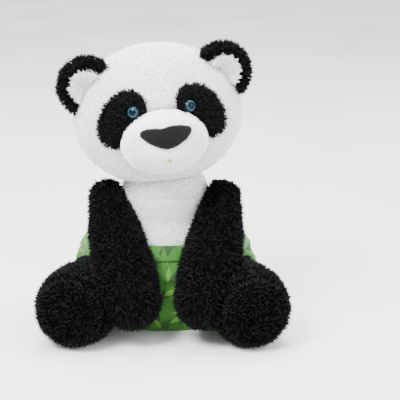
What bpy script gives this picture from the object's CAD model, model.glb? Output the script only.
# %% [markdown]
# A plush panda cub that sits in a printed cloth nappy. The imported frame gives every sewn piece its
# size and place. Here each piece gets what the needle, the filling and the pile give a real one:
# drawn-in seams, a nap of fine tufts, creased cotton, polished eyes.

# %% Load the frame
from math import atan2, cos, hypot, pi, radians, sin

import bmesh
import bpy
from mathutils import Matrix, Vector


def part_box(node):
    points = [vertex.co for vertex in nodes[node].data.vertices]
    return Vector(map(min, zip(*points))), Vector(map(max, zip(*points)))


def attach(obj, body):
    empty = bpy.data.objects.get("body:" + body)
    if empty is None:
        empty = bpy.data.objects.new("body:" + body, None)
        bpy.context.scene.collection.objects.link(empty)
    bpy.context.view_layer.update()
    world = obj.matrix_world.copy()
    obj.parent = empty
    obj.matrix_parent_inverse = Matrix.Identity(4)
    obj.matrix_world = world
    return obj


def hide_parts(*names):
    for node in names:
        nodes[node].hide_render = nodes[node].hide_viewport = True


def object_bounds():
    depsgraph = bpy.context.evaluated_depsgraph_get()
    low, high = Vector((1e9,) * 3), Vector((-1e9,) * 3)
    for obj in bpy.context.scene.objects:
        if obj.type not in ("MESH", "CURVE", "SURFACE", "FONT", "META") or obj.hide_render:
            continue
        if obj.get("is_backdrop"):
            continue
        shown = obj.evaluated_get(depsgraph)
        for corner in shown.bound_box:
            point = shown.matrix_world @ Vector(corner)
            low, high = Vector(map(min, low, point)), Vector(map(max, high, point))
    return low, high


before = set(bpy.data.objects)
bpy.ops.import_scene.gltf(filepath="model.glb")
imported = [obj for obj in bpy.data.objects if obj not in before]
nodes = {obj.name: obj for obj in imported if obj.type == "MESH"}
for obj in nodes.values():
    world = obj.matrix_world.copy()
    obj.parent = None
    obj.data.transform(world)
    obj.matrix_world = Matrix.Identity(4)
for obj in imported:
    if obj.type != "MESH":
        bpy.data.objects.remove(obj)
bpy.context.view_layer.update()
sides = (("right", -1), ("left", 1))

# %% [markdown]
# A stuffed piece is one closed bag. The frame holds it as separate panels and filling, so their
# surfaces are joined and remeshed into one even skin, which is then smoothed and drawn in by the
# depth of the pile. Building each bag again from a sphere would also work, but it would have to
# repeat every cut the frame already has.

# %% A skin round some nodes
def link(name, mesh):
    piece = bpy.data.objects.new(name, mesh)
    bpy.context.scene.collection.objects.link(piece)
    return piece


def baked(piece):
    """The piece's mesh with its modifiers applied."""
    graph = bpy.context.evaluated_depsgraph_get()
    mesh = bpy.data.meshes.new_from_object(piece.evaluated_get(graph))
    piece.modifiers.clear()
    piece.data = mesh
    return piece


def largest_shell(bm):
    """Keeps only the largest joined-up part of a mesh, which is its outside."""
    left, shells = set(bm.verts), []
    while left:
        grow, shell = [left.pop()], []
        while grow:
            vert = grow.pop()
            shell.append(vert)
            for edge in vert.link_edges:
                other = edge.other_vert(vert)
                if other in left:
                    left.remove(other)
                    grow.append(other)
        shells.append(shell)
    shells.sort(key=len)
    bmesh.ops.delete(bm, geom=[vert for shell in shells[:-1] for vert in shell], context="VERTS")


def skin_of(name, node_names, voxel, inset, rounds=6):
    """One closed skin round the outside of some nodes, drawn in by inset."""
    bm = bmesh.new()
    for node_name in node_names:
        bm.from_mesh(nodes[node_name].data)
    bmesh.ops.remove_doubles(bm, verts=bm.verts, dist=1e-5)
    mesh = bpy.data.meshes.new(name)
    bm.to_mesh(mesh)
    bm.free()
    piece = link(name, mesh)
    even = piece.modifiers.new("even faces", "REMESH")
    even.mode, even.voxel_size = "VOXEL", voxel
    calm = piece.modifiers.new("calm", "SMOOTH")
    calm.factor, calm.iterations = 0.5, rounds
    baked(piece)
    bm = bmesh.new()
    bm.from_mesh(piece.data)
    largest_shell(bm)
    bm.normal_update()
    for vert in bm.verts:
        vert.co -= vert.normal * inset
    bm.to_mesh(piece.data)
    bm.free()
    print(name, "skin of", len(piece.data.polygons), "faces")
    return piece


# %% [markdown]
# A seam pulls the cloth down into the filling. Moving the skin inwards near the seam's plane, most
# at the plane itself, gives that soft valley. Cutting the skin at the same plane then gives the two
# sewn panels, each closed again behind the seam.

# %% Seams and panels
def sew(piece, point, normal, depth, width):
    """A valley along the plane of a seam."""
    bm = bmesh.new()
    bm.from_mesh(piece.data)
    bm.normal_update()
    normal = Vector(normal).normalized()
    for vert in bm.verts:
        away = (vert.co - Vector(point)).dot(normal)
        vert.co -= vert.normal * depth * 2.718 ** (-((away / width) ** 2))
    bm.to_mesh(piece.data)
    bm.free()


def panel(piece, name, point, normal):
    """The part of a skin behind a plane, as a closed piece of its own."""
    bm = bmesh.new()
    bm.from_mesh(piece.data)
    nap = bm.verts.layers.float.new("nap")
    for vert in bm.verts:
        vert[nap] = 1.0
    whole = bm.verts[:] + bm.edges[:] + bm.faces[:]
    cut = bmesh.ops.bisect_plane(bm, geom=whole, plane_co=point, plane_no=normal, clear_outer=True)
    rim = [item for item in cut["geom_cut"] if isinstance(item, bmesh.types.BMEdge)]
    closed = bmesh.ops.edgeloop_fill(bm, edges=rim)
    bmesh.ops.inset_region(bm, faces=closed["faces"], thickness=0.001)
    for face in closed["faces"]:
        for vert in face.verts:
            vert[nap] = 0.0
    bmesh.ops.recalc_face_normals(bm, faces=bm.faces)
    mesh = bpy.data.meshes.new(name)
    bm.to_mesh(mesh)
    bm.free()
    return link(name, mesh)


# %% [markdown]
# Plush is a knitted backing with cut fibres that stand up from it. A hair system shows only while
# it renders, so the nap here is real geometry: one small curved tuft, scattered over the skin by
# geometry nodes, turned along the way the nap lies, and gathered a little into locks by a noise.

# %% One tuft
def make_tuft(name, length, width, bend):
    """A closed three-sided tuft that starts under the skin and bends to a point."""
    bm = bmesh.new()
    bmesh.ops.create_cone(bm, segments=3, radius1=0.0, radius2=width, depth=length * 0.45)
    bmesh.ops.translate(bm, verts=bm.verts, vec=(0, 0, length * 0.1))
    bmesh.ops.remove_doubles(bm, verts=bm.verts, dist=width * 0.01)
    top = max(bm.verts, key=lambda vert: vert.co.z).co.z
    ring = [vert for vert in bm.verts if vert.co.z > top - width * 0.1]
    lid = bm.faces.get(ring) or bm.faces.new(ring)
    poked = bmesh.ops.poke(bm, faces=[lid])["verts"][0]
    poked.co = Vector((bend, 0, length))
    bmesh.ops.recalc_face_normals(bm, faces=bm.faces)
    tip = bm.verts.layers.float.new("tip")
    for vert in bm.verts:
        vert[tip] = max(0.0, vert.co.z / length)
    mesh = bpy.data.meshes.new(name)
    bm.to_mesh(mesh)
    bm.free()
    tuft = link(name, mesh)
    tuft.hide_render = True
    print(name, "has", len(mesh.polygons), "faces")
    return tuft


# %% The scatter that lays a nap
def make_nap_tree():
    """Geometry nodes: tufts over a skin, leaning with the flow and gathered in locks."""
    tree = bpy.data.node_groups.new("lay nap", "GeometryNodeTree")
    face = tree.interface
    face.new_socket("Geometry", in_out="INPUT", socket_type="NodeSocketGeometry")
    face.new_socket("Tuft", in_out="INPUT", socket_type="NodeSocketObject")
    for label in ("Density", "Lean", "Lock", "Lock size"):
        face.new_socket(label, in_out="INPUT", socket_type="NodeSocketFloat")
    face.new_socket("Geometry", in_out="OUTPUT", socket_type="NodeSocketGeometry")
    new, wire = tree.nodes.new, tree.links.new
    given, out = new("NodeGroupInput"), new("NodeGroupOutput")

    def vector(operation, *values):
        node = new("ShaderNodeVectorMath")
        node.operation = operation
        for socket, value in zip([item for item in node.inputs if item.enabled], values):
            if isinstance(value, (tuple, float)):
                socket.default_value = value
            else:
                wire(value, socket)
        return node.outputs["Vector"]

    def named(kind, name):
        node = new("GeometryNodeInputNamedAttribute")
        node.data_type = kind
        node.inputs["Name"].default_value = name
        return node.outputs["Attribute"]

    dense = new("ShaderNodeMath")
    dense.operation = "MULTIPLY"
    wire(given.outputs["Density"], dense.inputs[0])
    wire(named("FLOAT", "nap"), dense.inputs[1])
    spread = new("GeometryNodeDistributePointsOnFaces")
    wire(given.outputs["Geometry"], spread.inputs["Mesh"])
    wire(dense.outputs[0], spread.inputs["Density"])
    spread.inputs["Seed"].default_value = 7
    noise = new("ShaderNodeTexNoise")
    wire(given.outputs["Lock size"], noise.inputs["Scale"])
    noise.inputs["Detail"].default_value = 1.0
    locks = vector("SUBTRACT", noise.outputs["Color"], (0.5, 0.5, 0.5))
    lean = new("ShaderNodeVectorMath")
    lean.operation = "SCALE"
    wire(named("FLOAT_VECTOR", "flow"), lean.inputs[0])
    wire(given.outputs["Lean"], lean.inputs["Scale"])
    gather = new("ShaderNodeVectorMath")
    gather.operation = "SCALE"
    wire(locks, gather.inputs[0])
    wire(given.outputs["Lock"], gather.inputs["Scale"])
    stray = new("FunctionNodeRandomValue")
    stray.data_type = "FLOAT_VECTOR"
    stray.inputs["Min"].default_value = (-0.22, -0.22, -0.22)
    stray.inputs["Max"].default_value = (0.22, 0.22, 0.22)
    way = vector("ADD", spread.outputs["Normal"], lean.outputs["Vector"])
    way = vector("ADD", way, gather.outputs["Vector"])
    way = vector("ADD", way, stray.outputs["Value"])
    stand = new("FunctionNodeAlignRotationToVector")
    stand.axis = "Z"
    wire(way, stand.inputs["Vector"])
    grow = new("FunctionNodeRandomValue")
    grow.inputs[2].default_value, grow.inputs[3].default_value = 0.7, 1.15
    place = new("GeometryNodeInstanceOnPoints")
    source = new("GeometryNodeObjectInfo")
    wire(given.outputs["Tuft"], source.inputs["Object"])
    wire(spread.outputs["Points"], place.inputs["Points"])
    wire(source.outputs["Geometry"], place.inputs["Instance"])
    wire(stand.outputs["Rotation"], place.inputs["Rotation"])
    wire(grow.outputs[1], place.inputs["Scale"])
    spin = new("FunctionNodeRandomValue")
    spin.data_type = "FLOAT_VECTOR"
    spin.inputs["Min"].default_value = (0, 0, 0)
    spin.inputs["Max"].default_value = (0, 0, 2 * pi)
    twist = new("GeometryNodeRotateInstances")
    wire(place.outputs["Instances"], twist.inputs["Instances"])
    wire(spin.outputs["Value"], twist.inputs["Rotation"])
    tone = new("FunctionNodeRandomValue")
    note = new("GeometryNodeStoreNamedAttribute")
    note.domain, note.data_type = "INSTANCE", "FLOAT"
    note.inputs["Name"].default_value = "tone"
    wire(twist.outputs["Instances"], note.inputs["Geometry"])
    wire(tone.outputs[1], note.inputs["Value"])
    real = new("GeometryNodeRealizeInstances")
    wire(note.outputs["Geometry"], real.inputs["Geometry"])
    where = new("GeometryNodeInputPosition")
    floor = vector("MAXIMUM", where.outputs["Position"], (-9.0, -9.0, 0.0004))
    settle = new("GeometryNodeSetPosition")
    wire(real.outputs["Geometry"], settle.inputs["Geometry"])
    wire(floor, settle.inputs["Position"])
    join = new("GeometryNodeJoinGeometry")
    wire(settle.outputs["Geometry"], join.inputs["Geometry"])
    wire(given.outputs["Geometry"], join.inputs["Geometry"])
    wire(join.outputs["Geometry"], out.inputs["Geometry"])
    return tree


nap_tree = make_nap_tree()
nap_count = 0


def lay_nap(piece, tuft, density, lean, lock, lock_size, flow):
    """Gives a skin its nap. flow tells which way the nap lies at a place."""
    global nap_count
    mesh = piece.data
    if "nap" not in mesh.attributes:
        weights = mesh.attributes.new("nap", "FLOAT", "POINT")
        weights.data.foreach_set("value", [1.0] * len(mesh.vertices))
    way = mesh.attributes.new("flow", "FLOAT_VECTOR", "POINT")
    way.data.foreach_set("vector", [part for vert in mesh.vertices for part in flow(vert.co)])
    bare = len(mesh.polygons)
    layer = piece.modifiers.new("nap", "NODES")
    layer.node_group = nap_tree
    values = {"Tuft": tuft, "Density": density, "Lean": lean, "Lock": lock, "Lock size": lock_size}
    for item in nap_tree.interface.items_tree:
        if item.name in values:
            layer[item.identifier] = values[item.name]
    baked(piece)
    piece.data.shade_smooth()
    nap_count += len(piece.data.polygons)
    print(piece.name, "nap of", len(piece.data.polygons) - bare, "faces")


mid_tuft = make_tuft("mid_tuft", 0.0052, 0.00065, 0.0018)
short_tuft = make_tuft("short_tuft", 0.0042, 0.0006, 0.0014)
long_tuft = make_tuft("long_tuft", 0.0068, 0.00075, 0.0026)
felt_tuft = make_tuft("felt_tuft", 0.0016, 0.00032, 0.0003)
nap_density = 620000.0

# %% [markdown]
# All plush here shades the same way: darker at the root, lighter at the tip, and a little
# different from tuft to tuft. That is one node group with its colours as inputs, used by the
# white, the black and the velour, so that each finish only chooses its values.

# %% The shade of a nap
def group(name, inputs, outputs):
    tree = bpy.data.node_groups.new(name, "ShaderNodeTree")
    for label, kind, value in inputs:
        socket = tree.interface.new_socket(label, in_out="INPUT", socket_type=kind)
        if value is not None:
            socket.default_value = value
    for label, kind in outputs:
        tree.interface.new_socket(label, in_out="OUTPUT", socket_type=kind)
    return tree, tree.nodes.new("NodeGroupInput"), tree.nodes.new("NodeGroupOutput")


def mixed(tree, factor, first, second):
    """A colour mix; factor and colours are sockets or plain values."""
    node = tree.nodes.new("ShaderNodeMix")
    node.data_type = "RGBA"
    for socket, value in ((node.inputs[0], factor), (node.inputs[6], first), (node.inputs[7], second)):
        if isinstance(value, bpy.types.NodeSocket):
            tree.links.new(value, socket)
        else:
            socket.default_value = value if isinstance(value, float) else (*value, 1.0)
    return node.outputs[2]


def math(tree, operation, *values):
    node = tree.nodes.new("ShaderNodeMath")
    node.operation = operation
    for socket, value in zip(node.inputs, values):
        if isinstance(value, bpy.types.NodeSocket):
            tree.links.new(value, socket)
        else:
            socket.default_value = value
    return node.outputs[0]


def make_nap_shade():
    colour = "NodeSocketColor"
    inputs = [("Root", colour, None), ("Tip", colour, None), ("Streak", colour, None)]
    inputs.append(("Streak share", "NodeSocketFloat", 0.2))
    tree, given, out = group("nap shade", inputs, [("Color", colour)])
    tip, tone = tree.nodes.new("ShaderNodeAttribute"), tree.nodes.new("ShaderNodeAttribute")
    tip.attribute_name, tone.attribute_name = "tip", "tone"
    body = mixed(tree, tip.outputs["Fac"], given.outputs["Root"], given.outputs["Tip"])
    edge = math(tree, "SUBTRACT", 1.0, given.outputs["Streak share"])
    chosen = math(tree, "GREATER_THAN", tone.outputs["Fac"], edge)
    light = math(tree, "MULTIPLY", chosen, tip.outputs["Fac"])
    tree.links.new(mixed(tree, light, body, given.outputs["Streak"]), out.inputs["Color"])
    return tree


nap_shade = make_nap_shade()


def plush(name, root, tip, streak, share, sheen, gloss=0.25, roughness=0.85):
    """A plush finish from the nap's shade."""
    finish = bpy.data.materials.new(name)
    finish.use_nodes = True
    tree = finish.node_tree
    shader = tree.nodes["Principled BSDF"]
    shade = tree.nodes.new("ShaderNodeGroup")
    shade.node_tree = nap_shade
    for label, value in (("Root", root), ("Tip", tip), ("Streak", streak)):
        shade.inputs[label].default_value = (*value, 1.0)
    shade.inputs["Streak share"].default_value = share
    tree.links.new(shade.outputs["Color"], shader.inputs["Base Color"])
    shader.inputs["Roughness"].default_value = roughness
    shader.inputs["Sheen Weight"].default_value = sheen
    shader.inputs["Sheen Roughness"].default_value = 0.5
    shader.inputs["Specular IOR Level"].default_value = gloss
    return finish


white = plush("white plush", (0.8, 0.8, 0.83), (0.92, 0.92, 0.945), (0.95, 0.95, 0.96), 0.3, 0.15)
black_shades = (0.0008, 0.0008, 0.001), (0.0024, 0.0024, 0.0029), (0.011, 0.0113, 0.013)
black = plush("black plush", *black_shades, 0.25, 0.0, gloss=0.05, roughness=0.6)
velour_shades = (0.0048, 0.0048, 0.006), (0.0095, 0.0095, 0.0115), (0.016, 0.016, 0.019)
velour = plush("nose velour", *velour_shades, 0.2, 0.03)
lining = plush("ear lining", (0.66, 0.66, 0.7), (0.88, 0.88, 0.91), (0.93, 0.93, 0.95), 0.3, 0.15)
print("plush finishes:", white.name, black.name, velour.name, lining.name)


def dress(piece, finish, body, slot, *replaced):
    """Last step for a piece: finish, body, record slot and the nodes it stands for."""
    piece.data.materials.clear()
    piece.data.materials.append(finish)
    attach(piece, body)
    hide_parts(*replaced)
    return piece


# %% [markdown]
# The head is two bags sewn ear to ear, with the muzzle as a third, smaller one let into the
# front. The nap lies away from the middle of the face, as it does when a head is brushed.

# %% Head and muzzle
head_middle = Vector((-0.007, -0.006, 0.2055))
head_up = Vector((-0.0958, 0.0, 0.9954))
head_front = Vector((0.1213, -0.9925, 0.0117))
head_across = Vector((0.988, 0.1219, 0.0951))


def in_head(across, forward, up):
    """A place in the head's own directions, in metres from its middle."""
    return head_middle + head_across * across + head_front * forward + head_up * up


def from_face(place):
    """Nap that lies away from the bridge of the nose."""
    way = Vector(place) - in_head(0.0, 0.075, 0.01)
    return way.normalized()


def egg_gap(place, middle, half_sizes):
    """About how far a place is outside an egg that lies in the head's directions."""
    away = Vector(place) - middle
    parts = (away.dot(head_across), away.dot(head_front), away.dot(head_up))
    share = sum((part / half) ** 2 for part, half in zip(parts, half_sizes)) ** 0.5
    return away.length * (1 - 1 / max(share, 0.05))


def draw_in(piece, middle, half_sizes, depth, width):
    """A valley where a skin meets an egg, as at the seam round the muzzle."""
    bm = bmesh.new()
    bm.from_mesh(piece.data)
    bm.normal_update()
    for vert in bm.verts:
        gap = egg_gap(vert.co, middle, half_sizes)
        vert.co -= vert.normal * depth * 2.718 ** (-((gap / width) ** 2))
    bm.to_mesh(piece.data)
    bm.free()


head_egg = (head_middle, (0.0825, 0.066, 0.0685))
muzzle_egg = (in_head(0, 0.05, -0.017), (0.039, 0.047, 0.030))


head = skin_of("head_skin", ["head_front_panel", "head_back_panel", "head_stuffing"], 0.003, 0.0022, 10)
ear_seam = in_head(0.0, -0.004, 0.0)
sew(head, ear_seam, head_front, 0.0022, 0.003)
head_face = panel(head, "head_front", ear_seam, -head_front)
head_rear = panel(head, "head_back", ear_seam, head_front)
bpy.data.objects.remove(head)
muzzle = skin_of("muzzle", ["muzzle_panel"], 0.0024, 0.0018, 6)
draw_in(head_face, *muzzle_egg, 0.0045, 0.0055)
draw_in(muzzle, *head_egg, 0.004, 0.006)
for piece in (head_face, head_rear, muzzle):
    lay_nap(piece, short_tuft, nap_density, 0.55, 0.5, 90.0, from_face)
dress(head_face, white, "head", "white_plush", "head_front_panel", "head_stuffing")
dress(head_rear, white, "head", "white_plush", "head_back_panel")
dress(muzzle, white, "head", "white_plush", "muzzle_panel")

# %% [markdown]
# The eye patches are cut from the black plush of the arms and laid on the white. The nose is a
# scrap of short velour, slightly stuffed, and its nap is so short that it reads as a soft bloom.

# %% Eye patches and nose
for side_name, side in sides:
    patch = skin_of(f"{side_name}_patch", [f"{side_name}_eye_patch"], 0.0012, 0.0, 3)
    lay_nap(patch, short_tuft, nap_density, 0.9, 0.5, 110.0, from_face)
    dress(patch, black, "head", "black_plush", f"{side_name}_eye_patch")

nose = skin_of("nose", ["nose_patch"], 0.0008, -0.0006, 4)
lay_nap(nose, felt_tuft, nap_density * 4, 0.6, 0.3, 200.0, from_face)
dress(nose, velour, "head", "nose_velour", "nose_patch")

# %% [markdown]
# Ears: a black back that rolls over the rim, and a white lining in the dish. Both are thin, so
# they are remeshed finely, and their nap points out from the middle of the ear.

# %% Ears
for side_name, side in sides:
    low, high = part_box(f"{side_name}_ear_back")
    ear_middle = (low + high) / 2

    def from_ear(place, middle=ear_middle):
        return (Vector(place) - middle).normalized()

    back = skin_of(f"{side_name}_ear", [f"{side_name}_ear_back"], 0.0018, 0.0030, 5)
    lay_nap(back, mid_tuft, nap_density * 1.1, 0.35, 0.8, 110.0, from_ear)
    dress(back, black, f"{side_name}_ear", "black_plush", f"{side_name}_ear_back")
    inner = skin_of(f"{side_name}_ear_lining", [f"{side_name}_ear_front"], 0.0011, 0.0, 3)
    lay_nap(inner, short_tuft, nap_density * 1.2, 0.2, 0.6, 120.0, from_ear)
    dress(inner, lining, f"{side_name}_ear", "white_plush", f"{side_name}_ear_front")

# %% [markdown]
# The trunk is a stuffed egg: white in front and below, black across the shoulders behind. The
# neck is a soft ball under the head. Where the nappy covers the trunk the pile lies flat under
# the cloth, so no tufts are laid there.

# %% Trunk and neck
def downwards(place):
    return Vector((place.x * 3, place.y * 3, -1.0)).normalized()


def bare_below(piece, height):
    """No nap under the nappy."""
    bm = bmesh.new()
    bm.from_mesh(piece.data)
    nap = bm.verts.layers.float["nap"]
    for vert in bm.verts:
        if vert.co.z < height:
            vert[nap] = 0.0
            vert.co -= vert.normal * 0.0005
    bm.to_mesh(piece.data)
    bm.free()


waist_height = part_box("nappy_shell")[1].z
side_seam, yoke_seam = Vector((0, 0, 0.08)), Vector((0, 0, 0.084))
trunk_nodes = ["belly_panel", "back_panel", "shoulder_yoke", "trunk_stuffing"]
trunk = skin_of("trunk_skin", trunk_nodes, 0.003, 0.0022, 8)
sew(trunk, side_seam, (0, 1, 0), 0.0015, 0.003)
belly = panel(trunk, "belly", side_seam, (0, 1, 0))
rear = panel(trunk, "rear_skin", side_seam, (0, -1, 0))
back = panel(rear, "back", yoke_seam, (0, 0, 1))
yoke = panel(rear, "yoke", yoke_seam, (0, 0, -1))
bpy.data.objects.remove(trunk)
bpy.data.objects.remove(rear)
for piece in (belly, back):
    bare_below(piece, waist_height - 0.012)
lay_nap(belly, short_tuft, nap_density, 0.6, 0.7, 80.0, downwards)
lay_nap(back, short_tuft, nap_density, 0.6, 0.6, 80.0, downwards)
lay_nap(yoke, long_tuft, nap_density * 0.8, 0.6, 0.9, 80.0, downwards)
dress(belly, white, "trunk", "white_plush", "belly_panel", "trunk_stuffing")
dress(back, white, "trunk", "white_plush", "back_panel")
dress(yoke, black, "trunk", "black_plush", "shoulder_yoke")
neck = skin_of("neck", ["neck_cover", "neck_stuffing"], 0.003, 0.0012, 5)
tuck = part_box("neck_cover")[0].z + 0.004
for vert in neck.data.vertices:
    vert.co.z -= 0.006 * max(0.0, min(1.0, (tuck - vert.co.z) / 0.003))
lay_nap(neck, short_tuft, nap_density, 0.5, 0.5, 90.0, downwards)
dress(neck, white, "neck", "white_plush", "neck_cover", "neck_stuffing")

# %% [markdown]
# Arms and legs are tubes of the long black plush. An arm is two long panels, so a seam runs down
# it; a leg ends in a round sole, and the sole's seam is the deepest valley on the toy. The nap
# runs from the body towards the paw.

# %% Arms
for side_name, side in sides:
    shoulder = Vector((side * 0.0575, -0.014, 0.126))
    paw = Vector((-0.030 if side < 0 else 0.039, -0.098, 0.045))
    along = (paw - shoulder).normalized()
    across = along.cross(Vector((0, 1, 0))).normalized()
    across = across * (1 if across.x * side > 0 else -1)

    def along_arm(place, way=along):
        return way

    arm_nodes = [f"{side_name}_arm_{part}" for part in ("outer_panel", "inner_panel", "stuffing")]
    whole = skin_of(f"{side_name}_arm_skin", arm_nodes, 0.0025, 0.0026, 6)
    sew(whole, shoulder, across, 0.0012, 0.0025)
    outer = panel(whole, f"{side_name}_arm_outer", shoulder, -across)
    inner = panel(whole, f"{side_name}_arm_inner", shoulder, across)
    bpy.data.objects.remove(whole)
    for piece in (outer, inner):
        lay_nap(piece, long_tuft, nap_density * 0.75, 0.9, 1.3, 75.0, along_arm)
    dress(outer, black, f"{side_name}_arm", "black_plush", arm_nodes[0], arm_nodes[2])
    dress(inner, black, f"{side_name}_arm", "black_plush", arm_nodes[1])

# %% Legs and soles
for side_name, side in sides:
    along = Vector((side * sin(radians(15)), -cos(radians(15)), 0))
    sole_seam = Vector((side * 0.058, -0.006, 0.037)) + along * 0.111

    def along_leg(place, way=along):
        return way

    def from_sole(place, middle=sole_seam):
        return (Vector(place) - middle + Vector((0, 0, 0.01))).normalized()

    leg_nodes = [f"{side_name}_{part}" for part in ("leg_panel", "sole_panel", "leg_stuffing")]
    whole = skin_of(f"{side_name}_leg_skin", leg_nodes, 0.003, 0.0026, 6)
    sew(whole, sole_seam, along, 0.0035, 0.003)
    leg = panel(whole, f"{side_name}_leg", sole_seam, along)
    sole = panel(whole, f"{side_name}_sole", sole_seam, -along)
    bpy.data.objects.remove(whole)
    lay_nap(leg, long_tuft, nap_density * 0.75, 0.8, 1.3, 75.0, along_leg)
    lay_nap(sole, long_tuft, nap_density * 0.8, 0.25, 0.9, 75.0, from_sole)
    dress(leg, black, f"{side_name}_leg", "black_plush", leg_nodes[0], leg_nodes[2])
    dress(sole, black, f"{side_name}_leg", "black_plush", leg_nodes[1])

# %% [markdown]
# The nappy is padded cotton, cut as a flat T and drawn round the hips. Its creases have to run
# through the cloth, the waistband and the bindings together, so one function gives the depth of
# the creases at any place, and every layer moves by it. A cloth simulation was the other choice,
# but the shape is fixed by the trunk beneath and the gathers are what shows.

# %% Creases of the nappy
hip_middle = Vector((0, 0, 0.038))
leg_lines = []
for side_name, side in sides:
    leg_lines.append((Vector((side * 0.058, -0.006, 0.037)), Vector((side * 0.2588, -0.9659, 0))))


def crease(place):
    """How far the cloth stands out at a place, in metres."""
    turn = atan2(place.x, -place.y)
    rise = place.z
    out = 0.0
    for height, sag, depth, width in ((0.047, 0.006, 0.0022, 0.0032), (0.033, 0.004, 0.0018, 0.0028)):
        level = height + sag * (1 - cos(turn * 1.6)) + 0.0015 * sin(turn * 7 + height * 300)
        fade = max(0.0, cos(min(abs(turn) * 1.1, pi / 2)))
        out -= depth * fade * 2.718 ** (-(((rise - level) / width) ** 2))
        out += depth * 0.7 * fade * 2.718 ** (-(((rise - level - 0.006) / 0.004) ** 2))
    out += 0.0045 * abs(sin(turn)) ** 3 * max(0.0, 1 - ((rise - 0.058) / 0.03) ** 2)
    under_band = max(0.0, 1 - abs(rise - 0.062) / 0.016)
    out += 0.0007 * under_band * sin(turn * 34 + 3 * sin(turn * 5))
    for root, along in leg_lines:
        across = place - root
        across -= along * across.dot(along)
        near = max(0.0, 1 - max(0.0, across.length - 0.03) / 0.022)
        out += 0.0013 * near * sin(atan2(across.z, across.x) * 15 + 2 * sin(rise * 90))
    return out


def creased(piece):
    bm = bmesh.new()
    bm.from_mesh(piece.data)
    for vert in bm.verts:
        away = (vert.co - hip_middle)
        away.z *= 0.3
        vert.co += away.normalized() * crease(vert.co)
        vert.co.z = max(vert.co.z, 0.0)
    bm.to_mesh(piece.data)
    bm.free()
    piece.data.shade_smooth()


def unrolled(piece):
    """A UV map in metres: round the hips and up."""
    mesh = piece.data
    layer = mesh.uv_layers.new(name="cloth")
    for face in mesh.polygons:
        turns = [atan2(mesh.vertices[i].co.x, -mesh.vertices[i].co.y) for i in face.vertices]
        wraps = max(turns) - min(turns) > pi
        for loop, turn, index in zip(face.loop_indices, turns, face.vertices):
            turn = turn + 2 * pi if wraps and turn < 0 else turn
            place = mesh.vertices[index].co
            drop = max(0.0, 0.07 - hypot(place.x, place.y)) if place.z < 0.02 else 0.0
            layer.data[loop].uv = (turn * 0.076, place.z - drop)


# %% [markdown]
# The print is leaves scattered over green. A Voronoi texture gives each leaf its own patch of
# cloth, with a centre and a random turn, and a curve measured from that centre draws the leaf and
# its veins. The same group serves three layers of leaves of different sizes and greens.

# %% A layer of leaves
def make_leaves():
    inputs = [
        ("Vector", "NodeSocketVector", None),
        ("Scale", "NodeSocketFloat", 40.0),
        ("Width", "NodeSocketFloat", 0.2),
    ]
    outputs = [(label, "NodeSocketFloat") for label in ("Leaf", "Vein", "Tone")]
    tree, given, out = group("leaves", inputs, outputs)
    cells = tree.nodes.new("ShaderNodeTexVoronoi")
    cells.voronoi_dimensions = "2D"
    cells.inputs["Randomness"].default_value = 0.75
    tree.links.new(given.outputs["Vector"], cells.inputs["Vector"])
    tree.links.new(given.outputs["Scale"], cells.inputs["Scale"])
    spot = tree.nodes.new("ShaderNodeVectorMath")
    spot.operation = "SUBTRACT"
    tree.links.new(given.outputs["Vector"], spot.inputs[0])
    tree.links.new(cells.outputs["Position"], spot.inputs[1])
    size = tree.nodes.new("ShaderNodeVectorMath")
    size.operation = "SCALE"
    tree.links.new(spot.outputs["Vector"], size.inputs[0])
    tree.links.new(given.outputs["Scale"], size.inputs["Scale"])
    hue = tree.nodes.new("ShaderNodeSeparateColor")
    tree.links.new(cells.outputs["Color"], hue.inputs["Color"])
    turn = tree.nodes.new("ShaderNodeVectorRotate")
    turn.rotation_type = "Z_AXIS"
    tree.links.new(size.outputs["Vector"], turn.inputs["Vector"])
    tree.links.new(math(tree, "MULTIPLY", hue.outputs["Red"], 6.28), turn.inputs["Angle"])
    part = tree.nodes.new("ShaderNodeSeparateXYZ")
    tree.links.new(turn.outputs["Vector"], part.inputs["Vector"])
    along, across = part.outputs["X"], math(tree, "ABSOLUTE", part.outputs["Y"])
    reach = math(tree, "ABSOLUTE", math(tree, "MULTIPLY", along, 1.9))
    taper = math(tree, "SUBTRACT", 1.0, math(tree, "POWER", reach, 1.7))
    edge = math(tree, "SUBTRACT", math(tree, "MULTIPLY", taper, given.outputs["Width"]), across)
    leaf = math(tree, "MULTIPLY", edge, 60.0)
    node = tree.nodes.new("ShaderNodeClamp")
    tree.links.new(leaf, node.inputs["Value"])
    tree.links.new(node.outputs[0], out.inputs["Leaf"])
    rib = math(tree, "LESS_THAN", across, 0.018)
    slanted = math(tree, "SUBTRACT", along, math(tree, "MULTIPLY", across, 0.9))
    branch = math(tree, "SINE", math(tree, "MULTIPLY", slanted, 58.0))
    branch = math(tree, "GREATER_THAN", branch, 0.86)
    tree.links.new(math(tree, "MAXIMUM", rib, math(tree, "MULTIPLY", branch, 0.55)), out.inputs["Vein"])
    tree.links.new(hue.outputs["Green"], out.inputs["Tone"])
    return tree


leaves = make_leaves()


# %% [markdown]
# Cotton cloth shows its weave only up close: fine threads over and under. One group gives that
# relief from the cloth's own map and serves the nappy, its bindings and its tabs.

# %% The weave of the cloth
def make_weave():
    inputs = [("Vector", "NodeSocketVector", None), ("Threads", "NodeSocketFloat", 2200.0)]
    tree, given, out = group("weave", inputs, [("Height", "NodeSocketFloat")])
    part = tree.nodes.new("ShaderNodeSeparateXYZ")
    tree.links.new(given.outputs["Vector"], part.inputs["Vector"])
    warp = math(tree, "SINE", math(tree, "MULTIPLY", part.outputs["X"], given.outputs["Threads"]))
    weft = math(tree, "SINE", math(tree, "MULTIPLY", part.outputs["Y"], given.outputs["Threads"]))
    tree.links.new(math(tree, "MULTIPLY", warp, weft), out.inputs["Height"])
    return tree


weave = make_weave()


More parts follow.
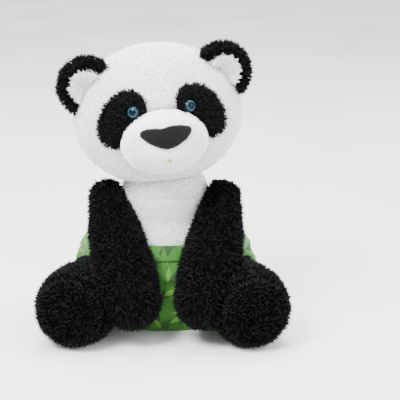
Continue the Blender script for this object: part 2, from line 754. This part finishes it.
def cotton(name, ground, layers, relief=0.25):
    """Printed cotton: a ground colour, layers of leaves, and the weave."""
    finish = bpy.data.materials.new(name)
    finish.use_nodes = True
    tree = finish.node_tree
    shader = tree.nodes["Principled BSDF"]
    chart = tree.nodes.new("ShaderNodeUVMap")
    chart.uv_map = "cloth"
    cloud = tree.nodes.new("ShaderNodeTexNoise")
    cloud.inputs["Scale"].default_value = 60.0
    tree.links.new(chart.outputs["UV"], cloud.inputs["Vector"])
    colour = mixed(tree, cloud.outputs["Fac"], ground, tuple(part * 1.5 for part in ground))
    for shift, scale, width, dark, light, vein in layers:
        move = tree.nodes.new("ShaderNodeMapping")
        move.inputs["Location"].default_value = (shift, shift * 0.7, 0)
        tree.links.new(chart.outputs["UV"], move.inputs["Vector"])
        layer = tree.nodes.new("ShaderNodeGroup")
        layer.node_tree = leaves
        layer.inputs["Scale"].default_value = scale
        layer.inputs["Width"].default_value = width
        tree.links.new(move.outputs["Vector"], layer.inputs["Vector"])
        blade = mixed(tree, layer.outputs["Tone"], dark, light)
        blade = mixed(tree, layer.outputs["Vein"], blade, vein)
        colour = mixed(tree, layer.outputs["Leaf"], colour, blade)
    tree.links.new(colour, shader.inputs["Base Color"])
    threads = tree.nodes.new("ShaderNodeGroup")
    threads.node_tree = weave
    tree.links.new(chart.outputs["UV"], threads.inputs["Vector"])
    bump = tree.nodes.new("ShaderNodeBump")
    bump.inputs["Strength"].default_value = relief
    bump.inputs["Distance"].default_value = 0.0004
    tree.links.new(threads.outputs["Height"], bump.inputs["Height"])
    tree.links.new(bump.outputs["Normal"], shader.inputs["Normal"])
    shader.inputs["Roughness"].default_value = 0.85
    shader.inputs["Sheen Weight"].default_value = 0.15
    return finish


deep, mid = (0.004, 0.022, 0.005), (0.014, 0.082, 0.005)
fresh, pale = (0.045, 0.165, 0.006), (0.11, 0.30, 0.03)
print_layers = [
    (0.013, 46.0, 0.24, deep, mid, (0.012, 0.06, 0.008)),
    (0.057, 38.0, 0.17, mid, fresh, (0.03, 0.12, 0.01)),
    (0.102, 58.0, 0.14, fresh, pale, (0.05, 0.17, 0.012)),
]
nappy_cloth = cotton("leaf print cotton", (0.019, 0.095, 0.005), print_layers)
band_cloth = cotton("band cotton", (0.017, 0.085, 0.005), print_layers[:2])
plain_cloth = cotton("plain green cotton", (0.022, 0.105, 0.007), [])

# %% The nappy and its bands
nappy = skin_of("nappy", ["nappy_shell"], 0.0018, 0.0, 4)
band = skin_of("nappy_band", ["waistband"], 0.0009, -0.0003, 2)
bindings = [
    skin_of(f"{side_name}_binding", [f"{side_name}_leg_binding"], 0.0009, -0.0004, 2)
    for side_name, side in sides
]
loop_tape = skin_of("loop_tape", ["loop_patch"], 0.0006, 0.0, 1)
tabs = [
    skin_of(f"{side_name}_tab", [f"{side_name}_hook_tab"], 0.0007, 0.0, 2)
    for side_name, side in sides
]
for piece in (nappy, band, loop_tape, *bindings, *tabs):
    if piece not in tabs and piece is not loop_tape:
        creased(piece)
    unrolled(piece)
    piece.data.shade_smooth()
dress(nappy, nappy_cloth, "trunk", "nappy_cotton", "nappy_shell")
dress(band, band_cloth, "trunk", "nappy_binding", "waistband")
dress(loop_tape, plain_cloth, "trunk", "loop_tape", "loop_patch")
for (side_name, side), binding, tab in zip(sides, bindings, tabs):
    dress(binding, band_cloth, "trunk", "nappy_binding", f"{side_name}_leg_binding")
    dress(tab, nappy_cloth, f"{side_name}_tab", "hook_tape", f"{side_name}_hook_tab")

# %% [markdown]
# The eyes are polished domes with a black pupil in a blue ring. The ring is painted by distance
# from the top of the dome, which needs no map, and the surface is smooth but reflects little, so
# the pupil stays dark.

# %% Eyes
ring_shades = (
    (0.40, (0.003, 0.004, 0.006)),
    (0.52, (0.006, 0.035, 0.06)),
    (0.60, (0.012, 0.07, 0.11)),
    (0.66, (0.002, 0.006, 0.01)),
)
ring_scale = 130.0  # distance from the top of the dome to a place on the colour ramp


def ringed(name, top):
    """A pupil, a ring and a dark rim, by distance from the top of the dome."""
    finish = bpy.data.materials.new(name)
    finish.use_nodes = True
    tree = finish.node_tree
    shader = tree.nodes["Principled BSDF"]
    place = tree.nodes.new("ShaderNodeTexCoord")
    reach = tree.nodes.new("ShaderNodeVectorMath")
    reach.operation = "DISTANCE"
    reach.inputs[1].default_value = top
    tree.links.new(place.outputs["Object"], reach.inputs[0])
    ramp = tree.nodes.new("ShaderNodeValToRGB")
    ramp.color_ramp.elements[0].position = 0.0
    ramp.color_ramp.elements[0].color = (0.002, 0.002, 0.003, 1)
    ramp.color_ramp.elements[1].position = 1.0
    ramp.color_ramp.elements[1].color = (0.004, 0.006, 0.008, 1)
    for position, colour in ring_shades:
        ramp.color_ramp.elements.new(position).color = (*colour, 1)
    tree.links.new(math(tree, "MULTIPLY", reach.outputs["Value"], ring_scale), ramp.inputs["Fac"])
    tree.links.new(ramp.outputs["Color"], shader.inputs["Base Color"])
    shader.inputs["Roughness"].default_value = 0.07
    shader.inputs["Specular IOR Level"].default_value = 0.12
    return finish


def from_middle(place):
    return (place - in_head(0, 0, 0)).length


for side_name, side in sides:
    eye = nodes[f"{side_name}_eye"]
    top = max((vert.co for vert in eye.data.vertices), key=from_middle)
    eye.data.materials.clear()
    eye.data.materials.append(ringed(f"{side_name} eye", top))
    eye.data.shade_smooth()
    print(side_name, "eye, top of the dome at", [round(part, 4) for part in top])

# %% [markdown]
# The mouth is a few satin stitches of yellow-green thread, and the washers behind the eyes are
# plain moulded plastic that nobody sees. Both keep their frame shapes and get a finish.

# %% Thread and washers
def simple(name, colour, roughness, scale, relief):
    finish = bpy.data.materials.new(name)
    finish.use_nodes = True
    tree = finish.node_tree
    shader = tree.nodes["Principled BSDF"]
    place = tree.nodes.new("ShaderNodeTexCoord")
    grain = tree.nodes.new("ShaderNodeTexNoise")
    grain.inputs["Scale"].default_value = scale
    tree.links.new(place.outputs["Object"], grain.inputs["Vector"])
    darker = tuple(part * 0.7 for part in colour)
    tree.links.new(mixed(tree, grain.outputs["Fac"], darker, colour), shader.inputs["Base Color"])
    bump = tree.nodes.new("ShaderNodeBump")
    bump.inputs["Strength"].default_value = relief
    bump.inputs["Distance"].default_value = 0.0003
    tree.links.new(grain.outputs["Fac"], bump.inputs["Height"])
    tree.links.new(bump.outputs["Normal"], shader.inputs["Normal"])
    shader.inputs["Roughness"].default_value = roughness
    return finish


thread = simple("mouth thread", (0.42, 0.44, 0.12), 0.6, 2500.0, 0.6)
moulded = simple("moulded plastic", (0.8, 0.8, 0.78), 0.5, 900.0, 0.1)
hard_parts = {"mouth_stitch": thread, "right_eye_washer": moulded, "left_eye_washer": moulded}
for name, finish in hard_parts.items():
    nodes[name].data.materials.clear()
    nodes[name].data.materials.append(finish)

# %% [markdown]
# A plain pale floor, a bright even sky and three soft lights, as for a catalogue picture. The
# camera is a long lens a little above the cub's eyes.

# %% Floor, light and camera
bm = bmesh.new()
bmesh.ops.create_grid(bm, x_segments=1, y_segments=1, size=6.0)
floor_mesh = bpy.data.meshes.new("floor")
bm.to_mesh(floor_mesh)
bm.free()
floor = link("floor", floor_mesh)
pale_floor = simple("pale floor", (0.93, 0.93, 0.93), 0.7, 3.0, 0.0)
floor.data.materials.append(pale_floor)
floor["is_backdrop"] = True

world = bpy.data.worlds.new("studio")
bpy.context.scene.world = world
world.use_nodes = True
world.node_tree.nodes["Background"].inputs["Color"].default_value = (1, 1, 1, 1)
world.node_tree.nodes["Background"].inputs["Strength"].default_value = 2.0


def lamp(name, place, aim, size, power):
    light = bpy.data.lights.new(name, "AREA")
    light.size, light.energy = size, power
    holder = bpy.data.objects.new(name, light)
    bpy.context.scene.collection.objects.link(holder)
    holder.location = place
    holder.rotation_euler = (Vector(aim) - Vector(place)).to_track_quat("-Z", "Y").to_euler()


lamp("key", (-0.7, -1.0, 1.4), (0, 0, 0.13), 0.7, 84.0)
lamp("fill", (1.1, -0.9, 0.7), (0, 0, 0.13), 1.0, 20.0)
lamp("top", (0.1, 0.4, 1.7), (0, 0, 0.13), 1.2, 68.0)

camera_tilt = radians(14)
camera_reach = 1.3
aim_across, aim_up = 0.0348, 0.1131
look = Vector((0, cos(camera_tilt), -sin(camera_tilt)))
lift = Vector((0, sin(camera_tilt), cos(camera_tilt)))
camera = bpy.data.objects.new("camera", bpy.data.cameras.new("camera"))
bpy.context.scene.collection.objects.link(camera)
camera.location = Vector((aim_across, 0, 0)) + lift * aim_up - look * camera_reach
camera.rotation_euler = look.to_track_quat("-Z", "Y").to_euler()
camera.data.lens = 114.4
bpy.context.scene.camera = camera
print("camera at", [round(part, 3) for part in camera.location])

# %% Measure and finish
for tuft in (short_tuft, mid_tuft, long_tuft, felt_tuft):
    bpy.data.objects.remove(tuft)
low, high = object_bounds()
print("faces in the nap:", nap_count, "sizes:", [round(b - a, 4) for a, b in zip(low, high)])
